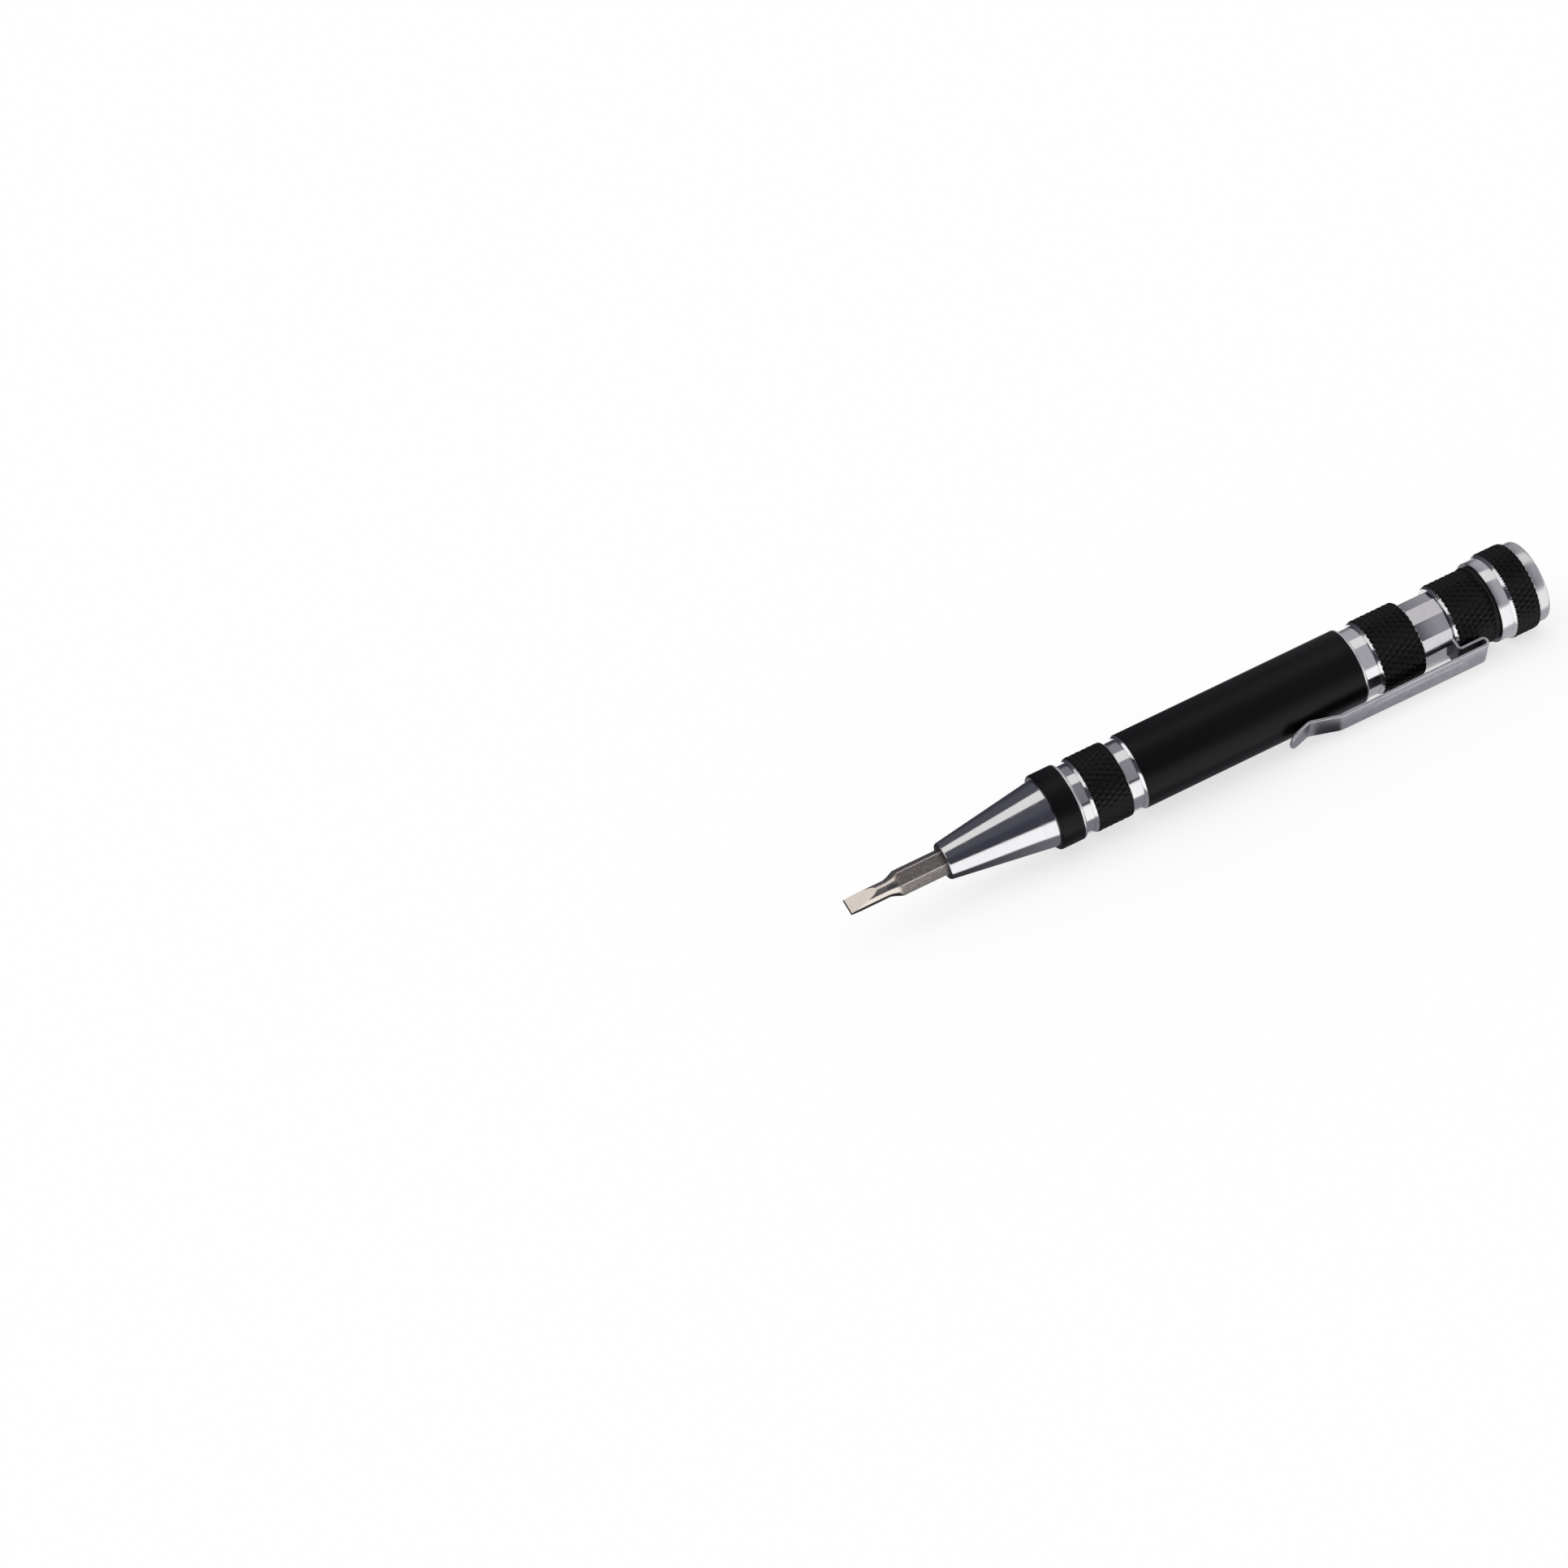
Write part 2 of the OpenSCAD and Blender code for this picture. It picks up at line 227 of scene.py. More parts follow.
cutMetal = (0.93, 0.93, 0.94, 1)
paleMetal = (0.91, 0.91, 0.925, 1)
edgeMetal = (0.88, 0.88, 0.9, 1)
dullMetal = (0.81, 0.81, 0.83, 1)
restPale = (0.8, 0.8, 0.815, 1)
restDull = (0.69, 0.69, 0.705, 1)
bandPale = (0.68, 0.67, 0.7, 1)
bandDull = (0.58, 0.57, 0.6, 1)
facePale = (0.2, 0.2, 0.21, 1)
faceDull = (0.13, 0.13, 0.14, 1)
brightAluminium = turnedMetal("bright turned aluminium", paleMetal, dullMetal, 0.09, 0.003)
cutAluminium = turnedMetal("bright cut edge", cutMetal, paleMetal, 0.1, 0.002)
satinEdge = turnedMetal("satin cut edge", edgeMetal, dullMetal, 0.3, 0.002)
polishedNickel = turnedMetal("polished nickel band", bandPale, bandDull, 0.08, 0.002)
satinAluminium = turnedMetal("satin rest", restPale, restDull, 0.2, 0.003)
# a darker copy of the metal: a painted shade on the nose cone's front face and rim, and the cap's own dark
# face where it meets the tube
darkAndShadedFace = turnedMetal("dark face with painted shade", facePale, faceDull, 0.32, 0.004)


# satin black with a little wear
def blackAnodised(name, gloss, grainDepth, crestWear):
    def sockets(web):
        lines = web.grain(web.turnedPlace(), 0.22, 2)
        blast = web.grain(web.place(), 0.12, 2)
        scuff = web.ramp(web.grain(web.place(), 3.2, 4, 0.7), 0.56, 0.78)
        worn = scuff * 0.3 + web.ramp(lines, 0.5, 0.85) * 0.2
        if crestWear:
            crest = web.add("ShaderNodeAttribute", {"attribute_name": "crest"}, None, out="Fac")
            worn = worn + web.ramp(crest, 0.6, 1.0) * crestWear
        return {
            "Base Color": web.mix(worn, (0.0022, 0.0022, 0.003, 1), (0.009, 0.009, 0.0105, 1)),
            "Roughness": gloss + scuff * 0.08 - lines * 0.05,
            "Specular IOR Level": 0.2,
            "Normal": web.bump(blast * 0.6 + lines * 0.4, grainDepth, 0.6),
        }
    return newFinish(name, sockets)


satinBlack = blackAnodised("satin black sleeve", 0.4, 0.006, 0)
knurlBlack = blackAnodised("knurled black ring", 0.42, 0.004, 0.3)


# brushed spring sheet
def springNickel(name, pale, dark, gloss):
    def sockets(web):
        strokes = web.grain(web.stretched((0.04, 1, 1)), 0.09, 3, 0.6)
        cloud = web.grain(web.place(), 1.6, 3, 0.6)
        tone = web.ramp(strokes, 0.3, 0.75) * 0.5 + web.ramp(cloud, 0.4, 0.7) * 0.4
        return {
            "Base Color": web.mix(tone, pale, dark),
            "Metallic": 1.0,
            "Roughness": gloss + strokes * 0.1 + cloud * 0.08,
            "Normal": web.bump(strokes, 0.006, 0.5),
        }
    return newFinish(name, sockets)


sheetPale = (0.68, 0.67, 0.71, 1)
sheetDull = (0.46, 0.455, 0.49, 1)
# a darker copy of the nickel for the spring's inner face, turned to the tube: a painted shade
insideShadePale = (0.15, 0.145, 0.15, 1)
insideShadeDull = (0.09, 0.085, 0.09, 1)
nickelPlate = springNickel("nickel plated spring", sheetPale, sheetDull, 0.3)
shadedInsideNickel = springNickel("spring inside with painted shade", insideShadePale, insideShadeDull, 0.36)

# stations and radii in mm between which the bit's finish changes
bitTones = {"blasted": (8.6, 9.7), "rubbed": (2.24, 2.29), "darkTip": (0.14, 0.26)}


# ground blade and neck, blasted hexagon behind them with its corners rubbed bright
def bitFinish(web):
    place = web.place()
    along = (web.add("ShaderNodeSeparateXYZ", None, {0: place}) - bladeTip) / mm
    outward = web.add("ShaderNodeSeparateXYZ", None, {0: web.turnedPlace()}, out="Y") / mm
    speckle = web.grain(place, 0.16, 3, 0.7)
    stain = web.grain(place, 0.9, 3, 0.6)
    grind = web.grain(web.stretched((1, 0.15, 0.15)), 0.07, 2)
    blasted = web.ramp(along + speckle * 0.7, *bitTones["blasted"])
    rubbed = web.ramp(outward + speckle * 0.06, *bitTones["rubbed"]) * blasted
    # the blade's tip edge is coloured dark
    darkTip = web.fade(along + stain * 0.1, *bitTones["darkTip"])
    hexTone = web.mix(web.ramp(speckle, 0.34, 0.7), (0.15, 0.13, 0.125, 1), (0.56, 0.51, 0.49, 1))
    hexTone = web.mix(rubbed, hexTone, (0.75, 0.7, 0.68, 1))
    grindMarks = web.ramp(grind, 0.3, 0.7) * 0.5 + stain * 0.3
    groundTone = web.mix(grindMarks, (0.93, 0.85, 0.78, 1), (0.74, 0.67, 0.61, 1))
    groundTone = web.mix(darkTip, groundTone, (0.06, 0.055, 0.05, 1))
    return {
        "Base Color": web.mix(blasted, groundTone, hexTone),
        "Metallic": 1.0,
        "Roughness": 0.14 + grind * 0.08 + blasted * (0.2 + speckle * 0.16),
        "Normal": web.bump(grind * 0.25 + blasted * speckle, 0.02, 0.6),
    }


bitSteel = newFinish("ground and blasted bit steel", bitFinish)


def socketFinish(web):
    cloud = web.grain(web.place(), 0.5, 3, 0.6)
    lines = web.grain(web.turnedPlace(), 0.12, 2)
    return {
        "Base Color": web.mix(web.ramp(cloud, 0.3, 0.7), (0.3, 0.29, 0.28, 1), (0.5, 0.49, 0.47, 1)),
        "Metallic": 1.0,
        "Roughness": 0.3 + cloud * 0.15,
        "Normal": web.bump(lines, 0.006, 0.5),
    }


socketSteel = newFinish("satin socket steel", socketFinish)


def rubberFinish(web):
    pores = web.grain(web.place(), 0.2, 3, 0.6)
    bloom = web.ramp(web.grain(web.place(), 1.8, 3, 0.6), 0.4, 0.75)
    return {
        "Base Color": web.mix(bloom, (0.018, 0.018, 0.019, 1), (0.04, 0.04, 0.041, 1)),
        "Roughness": 0.62 + pores * 0.2,
        "Normal": web.bump(pores, 0.01, 0.6),
    }


blackRubber = newFinish("black seal rubber", rubberFinish)


def foamFinish(web):
    cells = web.add("ShaderNodeTexVoronoi", None, {"Vector": web.place(), "Scale": 1 / (0.5 * mm)})
    holes = web.ramp(cells, 0.15, 0.55)
    return {
        # the pits are coloured darker than the cell walls, a painted shade inside the cells
        "Base Color": web.mix(holes, (0.012, 0.012, 0.013, 1), (0.06, 0.06, 0.063, 1)),
        "Roughness": 0.9 - holes * 0.12,
        "Normal": web.bump(holes, 0.12, 0.8),
    }


blackFoam = newFinish("black open foam", foamFinish)
print("finishes made:", len(bpy.data.materials))

# columns round a turned piece
columnsOf = {"seen": 224, "band": 192, "inside": 160, "foam": 96}


# finish a mesh as an object at the origin
def newPiece(name, mesh, finishes, sharpAngle):
    for finish in finishes:
        mesh.materials.append(finish)
    mesh.polygons.foreach_set("use_smooth", [True] * len(mesh.polygons))
    mesh.set_sharp_from_angle(angle=math.radians(sharpAngle))
    piece = bpy.data.objects.new(name, mesh)
    scene.collection.objects.link(piece)
    return piece


def settle(piece, body, slot, *nodes):
    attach(piece, body)
    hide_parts(*nodes)
    print(piece.name, "made:", len(piece.data.polygons), "faces")


# modifiers become plain mesh
def bake(piece):
    graph = bpy.context.evaluated_depsgraph_get()
    shown = piece.evaluated_get(graph)
    mesh = bpy.data.meshes.new_from_object(shown, preserve_all_data_layers=True, depsgraph=graph)
    piece.modifiers.clear()
    piece.data = mesh
    return piece


def meshOf(skin, name):
    mesh = bpy.data.meshes.new(name)
    skin.to_mesh(mesh)
    skin.free()
    return mesh


# points round a corner, from one leg to the other
def curve(first, corner, last, steps):
    shares = [step / steps for step in range(steps + 1)]
    return [first * (1 - t) ** 2 + corner * (2 * t * (1 - t)) + last * t ** 2 for t in shares]


# outline corners are (station, radius, rounding, finish): the finish holds up to the next corner
def rounded(outline, steps=5, mostOfLeg=0.48):
    points = []
    for index, (station, out, reach, finish) in enumerate(outline):
        corner = Vector((station, out))
        before = Vector(outline[index - 1][:2]) - corner
        after = Vector(outline[(index + 1) % len(outline)][:2]) - corner
        if reach <= 0:
            points.append((corner.x, corner.y, finish))
            continue
        first = corner + before.normalized() * min(reach, before.length * mostOfLeg)
        last = corner + after.normalized() * min(reach, after.length * mostOfLeg)
        points += [(point.x, point.y, finish) for point in curve(first, corner, last, steps)]
    return points


# turn an outline round the axis into one closed skin
def turned(name, outline, finishes, columns, sharpAngle=28):
    skin = bmesh.new()
    rings = []
    points = rounded(outline)
    turns = [2 * math.pi * column / columns for column in range(columns)]
    for station, out, finish in points:
        if out < 1e-6:
            rings.append([skin.verts.new(spot(station, 0, 0))])
            continue
        rings.append([skin.verts.new(spot(station, out * math.cos(a), out * math.sin(a))) for a in turns])
    for index, ring in enumerate(rings):
        other = rings[(index + 1) % len(rings)]
        if len(ring) == 1 and len(other) == 1:
            continue
        for column in range(columns):
            around = (column + 1) % columns
            corners = [ring[column % len(ring)], ring[around % len(ring)]]
            corners += [other[around % len(other)], other[column % len(other)]]
            face = skin.faces.new(list(dict.fromkeys(corners)))
            face.material_index = points[index][2]
    bmesh.ops.recalc_face_normals(skin, faces=skin.faces)
    return newPiece(name, meshOf(skin, name), finishes, sharpAngle)


# join closed rings of points into one skin, with both ends capped
def lofted(name, rings, finishes, sharpAngle, finishAt):
    skin = bmesh.new()
    rows = [[skin.verts.new(point) for point in ring] for ring in rings]
    for row, other in zip(rows, rows[1:]):
        for column in range(len(row)):
            around = (column + 1) % len(row)
            face = skin.faces.new((row[column], row[around], other[around], other[column]))
            face.material_index = finishAt(column)
    skin.faces.new(rows[0])
    skin.faces.new(rows[-1])
    bmesh.ops.recalc_face_normals(skin, faces=skin.faces)
    return newPiece(name, meshOf(skin, name), finishes, sharpAngle)


# walls and clearances in mm that the solids share
walls = {"press": 0.02, "endGap": 0.1, "tube": 1.04, "groove": 0.4, "threadStep": 0.2, "hub": 0.7}

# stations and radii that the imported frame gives
noseStart, spigotEnd = ends("nose_cone")
tubeStart, tubeEnd = ends("core_tube")
tubeRadius = radius("core_tube")
socketRadius = radius("bit_socket")
socketEnd = ends("bit_socket")[1]
gripRadius = radius("front_grip_ring")
sleeveRadius = radius("barrel_sleeve")
bandStart = ends("clip_band")[0]
bandEnd = ends("clip_grip_ring")[0] - walls["endGap"]
capThread, capTop = ends("cap_body")
sealStart, capStart = ends("cap_seal")
capBand = ends("cap_grip_ring")[0]
capRadius = radius("cap_body")
storeRadius = tubeRadius - walls["tube"]
ringBore = tubeRadius + walls["press"]
threadRadius = storeRadius + walls["threadStep"]
hubRadius = capRadius - walls["hub"]

coneLook = {
    "tipWall": 0.45, "rimRound": 0.2, "boreRound": 0.06, "faceRound": 0.05, "shoulderRound": 0.12,
    "baseRound": 0.12, "spigotRound": 0.25,
}


def makeNoseCone():
    look = coneLook
    boreRadius = socketRadius + walls["press"]
    tipRadius = boreRadius + look["tipWall"]
    spigotRadius = storeRadius - walls["press"]
    outline = [
        (noseStart, boreRadius, look["boreRound"], 1),
        (noseStart, tipRadius - look["rimRound"], look["faceRound"], 1),
        (noseStart + look["rimRound"], tipRadius, look["shoulderRound"], 0),
        (tubeStart, tubeRadius - walls["press"], look["baseRound"], 0),
        (tubeStart, spigotRadius, 0, 0),
        (spigotEnd, spigotRadius, look["spigotRound"], 0),
        (spigotEnd, 0, 0, 0),
        (socketEnd, 0, 0, 0),
        (socketEnd, boreRadius, 0, 0),
    ]
    # the front face and rim take the darker copy of the metal, a painted shade
    cone = turned("nose_cone_turned", outline, [brightAluminium, darkAndShadedFace], columnsOf["seen"])
    settle(cone, "barrel", "bright_aluminium", "nose_cone")


tubeLook = {"grooveRound": 0.06, "endRound": 0.1, "boreRound": 0.15}


def makeCoreTube():
    look = tubeLook
    grooveStart = bandStart - walls["endGap"]
    grooveEnd = bandEnd + walls["endGap"]
    grooveRadius = storeRadius + walls["groove"]
    threadStart = capThread - walls["endGap"]
    outline = [
        (tubeStart, storeRadius, 0, 0),
        (tubeStart, tubeRadius, 0, 0),
        (grooveStart, tubeRadius, look["grooveRound"], 0),
        (grooveStart, grooveRadius, 0, 0),
        (grooveEnd, grooveRadius, 0, 0),
        (grooveEnd, tubeRadius, look["grooveRound"], 0),
        (tubeEnd, tubeRadius, look["endRound"], 0),
        (tubeEnd, threadRadius, look["boreRound"], 0),
        (threadStart, threadRadius, 0, 0),
        (threadStart, storeRadius, 0, 0),
    ]
    tube = turned("core_tube_turned", outline, [brightAluminium], columnsOf["seen"])
    settle(tube, "barrel", "bright_aluminium", "core_tube")


noseRingLook = {"edgeRound": 0.5, "rearCut": 0.3, "rearRound": 0.25, "rearCorner": 0.05}


def makeNoseRing():
    look = noseRingLook
    start, stop = ends("nose_ring")
    cut = look["rearCut"]
    outline = [
        (start, ringBore, 0, 0),
        (start, gripRadius, look["edgeRound"], 0),
        (stop - cut, gripRadius, look["rearRound"], 1),
        (stop, gripRadius - cut, look["rearCorner"], 1),
        (stop, ringBore, 0, 1),
    ]
    ring = turned("nose_ring_turned", outline, [satinBlack, satinEdge], columnsOf["seen"])
    settle(ring, "barrel", "black_anodised", "nose_ring")


sleeveLook = {"chamfer": 0.45, "edgeRound": 0.04, "rearCut": 0.22, "rearRound": 0.25}


def makeBarrelSleeve():
    look = sleeveLook
    start, stop = ends("barrel_sleeve")
    cut = look["chamfer"]
    rearCut = look["rearCut"]
    outline = [
        (start, ringBore, 0, 1),
        (start, sleeveRadius - cut, look["edgeRound"], 1),
        (start + cut, sleeveRadius, look["edgeRound"], 0),
        (stop - rearCut, sleeveRadius, look["rearRound"], 2),
        (stop, sleeveRadius - rearCut, look["edgeRound"], 2),
        (stop, ringBore, 0, 1),
    ]
    finishes = [satinBlack, cutAluminium, satinEdge]
    sleeve = turned("barrel_sleeve_turned", outline, finishes, columnsOf["seen"])
    settle(sleeve, "barrel", "black_anodised", "barrel_sleeve")


# Geometry Nodes: helical cuts pressed into a turned ring, with its edges chamfered through them
def knurlTree():
    skinNear = 2e-6
    endNear = 1e-6
    chamferFoot = 0.9
    mostlyBare = 0.6
    tree = bpy.data.node_groups.new("helical cuts", "GeometryNodeTree")
    tree.interface.new_socket(name="Geometry", in_out="INPUT", socket_type="NodeSocketGeometry")
    sizes = ("Start", "Length", "Radius", "Depth", "Pitch", "Flat")
    sizes += ("Front Cut", "Front Slope", "Rear Cut", "Crossed")
    for name in sizes:
        tree.interface.new_socket(name=name, in_out="INPUT", socket_type="NodeSocketFloat")
    tree.interface.new_socket(name="Starts", in_out="INPUT", socket_type="NodeSocketInt")
    for name in ("Skin", "Cut"):
        tree.interface.new_socket(name=name, in_out="INPUT", socket_type="NodeSocketMaterial")
    tree.interface.new_socket(name="Geometry", in_out="OUTPUT", socket_type="NodeSocketGeometry")
    web = Web(tree)
    given = web.add("NodeGroupInput")
    ask = given.also

    parts = web.add("ShaderNodeSeparateXYZ", None, {0: web.add("GeometryNodeInputPosition")})
    across = parts.also("Y") - axisY
    upward = parts.also("Z") - axisZ
    outward = (across * across + upward * upward) ** 0.5
    turns = upward.sum("ARCTAN2", upward, across) / (2 * math.pi) * ask("Starts")
    along = parts - ask("Start")
    lead = along / ask("Pitch")

    def groove(value):
        return abs(value.sum("FRACT", value) * 2 - 1)

    deep = groove(turns + lead).most(groove(turns - lead) * ask("Crossed"))
    pressed = (deep - ask("Flat")).most(0) / (1 - ask("Flat"))
    knurled = ask("Radius") - ask("Depth") * pressed
    fromRear = ask("Length") - along
    frontCone = ask("Radius") - ask("Front Cut") + along * ask("Front Slope")
    rearCone = ask("Radius") - ask("Rear Cut") + fromRear
    chamfered = frontCone.least(rearCone)
    onSkin = (outward > ask("Radius") - skinNear) * (outward < ask("Radius") + skinNear)
    onSkin = onSkin * (along > -endNear) * (fromRear > -endNear)
    scale = knurled.least(chamfered) / outward
    corners = {0: parts, 1: across * scale + axisY, 2: upward * scale + axisZ}
    moved = web.add("ShaderNodeCombineXYZ", None, corners)
    bare = onSkin * (chamfered < knurled)
    bare = bare.most(outward < ask("Radius") - ask("Front Cut") * chamferFoot)

    def kept(geometry, name, value):
        settings = {"data_type": "FLOAT", "domain": "POINT"}
        sockets = {"Geometry": geometry, "Name": name, "Value": value}
        return web.add("GeometryNodeStoreNamedAttribute", settings, sockets)

    stored = kept(kept(ask("Geometry"), "bare", bare), "crest", (1 - pressed) * onSkin)
    moves = {"Geometry": stored, "Selection": onSkin, "Position": moved}
    shaped = web.add("GeometryNodeSetPosition", None, moves)
    real = web.add("GeometryNodeRealizeInstances", None, {0: shaped})
    skinned = web.add("GeometryNodeSetMaterial", None, {"Geometry": real, "Material": ask("Skin")})
    bareNow = web.add("GeometryNodeInputNamedAttribute", {"data_type": "FLOAT"}, {"Name": "bare"})
    picks = {"Geometry": skinned, "Selection": bareNow > mostlyBare, "Material": ask("Cut")}
    finished = web.add("GeometryNodeSetMaterial", None, picks)
    web.add("NodeGroupOutput", None, {0: finished})
    return tree


helicalCuts = knurlTree()


def cutHelix(piece, sizes):
    modifier = piece.modifiers.new("helical cuts", "NODES")
    modifier.node_group = helicalCuts
    for item in helicalCuts.interface.items_tree:
        if item.in_out == "INPUT" and item.name in sizes:
            modifier[item.identifier] = sizes[item.name]
    return bake(piece)


# frontShare makes the front ring's cuts shallower, capShare the cap ring's chamfer wider
knurlLook = {
    "width": 1.04, "pitch": 2, "depth": 0.22, "flat": 0.14, "samples": 12, "frontCut": 0.45,
    "frontSlope": 0.8, "rearCut": 0.25, "frontShare": 0.7, "capShare": 1.2,
    "fineSplit": 3, "frontRows": 17, "rearRows": 6, "sharpAngle": 24,
}


def makeKnurledRing(node, outer, bore, depth, frontCut, knurlEnd=None, tail=()):
    look = knurlLook
    start, stop = ends(node)
    stop = knurlEnd or stop
    starts = round(2 * math.pi * outer / look["width"])
    step = look["pitch"] / look["samples"]
    rows = math.floor((stop - start) / step)
    stations = {start + row * step for row in range(rows + 1)}
    # finer rows where the chamfers cut through the knurl
    stations |= {start + step * row / look["fineSplit"] for row in range(1, look["frontRows"] + 1)}
    stations |= {stop - step * row / look["fineSplit"] for row in range(look["rearRows"] + 1)}
    outline = [(start, bore, 0, 0)]
    outline += [(station, outer, 0, 0) for station in sorted({round(station, 4) for station in stations})]
    outline += list(tail) or [(stop, bore, 0, 0)]
    ring = turned(node + "_knurled", outline, [], starts * look["samples"])
    sizes = {
        "Start": bladeTip + start * mm, "Length": (stop - start) * mm, "Radius": outer * mm,
        "Depth": depth * mm, "Pitch": look["pitch"] * mm, "Flat": look["flat"], "Crossed": 1.0,
        "Front Cut": frontCut * mm, "Front Slope": look["frontSlope"],
        "Rear Cut": 0.0 if tail else look["rearCut"] * mm,
        "Starts": starts, "Skin": knurlBlack, "Cut": cutAluminium,
    }
    cutHelix(ring, sizes)
    ring.data.set_sharp_from_angle(angle=math.radians(look["sharpAngle"]))
    return ring


flareLook = {"length": 0.35, "rise": 0.25, "rootRound": 0.2, "edgeRound": 0.25}


def makeKnurledRings():
    deep = knurlLook["depth"]
    cut = knurlLook["frontCut"]
    for node, depth in (("front_grip_ring", deep * knurlLook["frontShare"]), ("rear_grip_ring", deep)):
        ring = makeKnurledRing(node, gripRadius, ringBore, depth, cut)
        settle(ring, "barrel", "black_anodised", node)
    stop = ends("clip_grip_ring")[1]
    flareStart = stop - flareLook["length"]
    flareRadius = radius("clip_grip_ring")
    tail = [
        (flareStart, flareRadius, flareLook["rootRound"], 0),
        (stop, flareRadius, flareLook["edgeRound"], 0),
        (stop, ringBore, 0, 0),
    ]
    knurlEnd = flareStart - flareLook["rise"]
    ring = makeKnurledRing("clip_grip_ring", gripRadius, ringBore, deep, cut, knurlEnd, tail)
    settle(ring, "barrel", "black_anodised", "clip_grip_ring")
    capOuter = radius("cap_grip_ring")
    capBore = hubRadius + walls["press"]
    ring = makeKnurledRing("cap_grip_ring", capOuter, capBore, deep, cut * knurlLook["capShare"])
    settle(ring, "cap", "black_anodised", "cap_grip_ring")


capLook = {
    "hollow": 1.4, "web": 3, "stemBore": 2.05, "relief": 0.7, "rimRound": 0.12, "edgeRound": 0.1,
    "threadGap": 0.06, "threadPitch": 0.75, "threadDepth": 0.3, "threadFlat": 0.2, "threadCut": 0.3,
    "threadSamples": 10, "dullReach": 0.1,
}


def makeCapBody():
    look = capLook
    edge = look["edgeRound"]
    spigot = threadRadius - look["threadGap"]
    root = spigot - look["threadDepth"]
    hollow = threadRadius - look["hollow"]
    webStart = capStart - look["web"]
    reliefStart = capStart - look["relief"]
    step = look["threadPitch"] / look["threadSamples"]
    rows = int((reliefStart - capThread) / step)
    outline = [(capThread, hollow, edge, 0)]
    outline += [(capThread + row * step, spigot, 0, 0) for row in range(rows + 1)]
    outline += [
        (reliefStart, root, 0, 0),
        (capStart, root, 0, 0),
        (capStart, capRadius, look["rimRound"], 0),
        (capBand, capRadius, edge, 0),
        (capBand, hubRadius, 0, 0),
        (capTop, hubRadius, edge, 0),
        (capTop, look["stemBore"], edge, 0),
        (webStart, look["stemBore"], edge, 0),
        (webStart, hollow, 0, 0),
    ]
    body = turned("cap_body_threaded", outline, [], columnsOf["inside"])
    sizes = {
        "Start": bladeTip + capThread * mm, "Length": rows * step * mm, "Radius": spigot * mm,
        "Depth": look["threadDepth"] * mm, "Pitch": look["threadPitch"] * mm,
        "Flat": look["threadFlat"], "Crossed": 0.0, "Front Cut": look["threadCut"] * mm,
        "Front Slope": 1.0, "Rear Cut": look["threadCut"] * mm,
        "Starts": 1, "Skin": brightAluminium, "Cut": brightAluminium,
    }
    cutHelix(body, sizes)
    # the face that meets the tube is left dull
    body.data.materials.append(darkAndShadedFace)
    for face in body.data.polygons:
        onFace = abs(face.center.x - bladeTip - capStart * mm) < look["dullReach"] * mm
        if onFace and face.normal.x < -0.5:
            face.material_index = len(body.data.materials) - 1
    settle(body, "cap", "bright_aluminium", "cap_body")


restLook = {
    "edgeRound": 0.6, "rim": 0.9, "rimRound": 0.1, "dish": 0.1, "dishRun": 0.5, "dishRound": 0.3,
    "backRound": 0.12, "stemRadius": 2, "stemRound": 0.15, "grooveDepth": 0.4,
}


def makeFingerRest():
    look = restLook
    stemEnd, restEnd = ends("finger_rest")
    ringStart, ringEnd = ends("rest_retaining_ring")
    grooveStart = ringStart - walls["press"]
    grooveEnd = ringEnd + walls["press"]
    outer = radius("finger_rest")
    stem = look["stemRadius"]
    neck = stem - look["grooveDepth"]
    rim = outer - look["rim"]
    restStart = capTop + walls["endGap"]
    dishEnd = restEnd - look["dish"]
    outline = [
        (stemEnd, 0, 0, 0),
        (stemEnd, stem, look["stemRound"], 0),
        (grooveStart, stem, 0, 0),
        (grooveStart, neck, 0, 0),
        (grooveEnd, neck, 0, 0),
        (grooveEnd, stem, 0, 0),
        (restStart, stem, 0, 0),
        (restStart, outer, look["backRound"], 0),
        (restEnd, outer, look["edgeRound"], 0),
        (restEnd, rim, look["rimRound"], 0),
        (dishEnd, rim - look["dishRun"], look["dishRound"], 0),
        (dishEnd, 0, 0, 0),
    ]
    rest = turned("finger_rest_turned", outline, [satinAluminium], columnsOf["seen"])
    settle(rest, "rest", "bright_aluminium", "finger_rest")


sealLook = {"boreRound": 0.08, "edgeRound": 0.12}


def makeCapSeal():
    bore = sealLook["boreRound"]
    edge = sealLook["edgeRound"]
    outer = radius("cap_seal")
    outline = [
        (sealStart, threadRadius, bore, 0),
        (sealStart, outer, edge, 0),
        (capStart, outer, edge, 0),
        (capStart, threadRadius, bore, 0),
    ]
    seal = turned("cap_seal_moulded", outline, [blackRubber], columnsOf["inside"])
    settle(seal, "seal", "black_rubber", "cap_seal")


# corners of the foam's crowned front and its back: mm from the end, share of the radius, rounding
padLook = {
    "front": ((0.35, 0.6, 0.6), (0.9, 0.98, 1.2)), "waistRound": 1.5,
    "back": ((0.2, 0.98, 0.5), (0, 0.9, 0.4)), "sharpAngle": 60,
}


def makeCapPad():
    start, stop = ends("cap_pad")
    outer = radius("cap_pad")
    outline = [(start, 0, 0, 0)]
    outline += [(start + run, outer * share, reach, 0) for run, share, reach in padLook["front"]]
    outline.append(((start + stop) / 2, outer, padLook["waistRound"], 0))
    outline += [(stop - run, outer * share, reach, 0) for run, share, reach in padLook["back"]]
    outline.append((stop, 0, 0, 0))
    pad = turned("cap_pad_foam", outline, [blackFoam], columnsOf["foam"], padLook["sharpAngle"])
    settle(pad, "cap", "black_foam", "cap_pad")


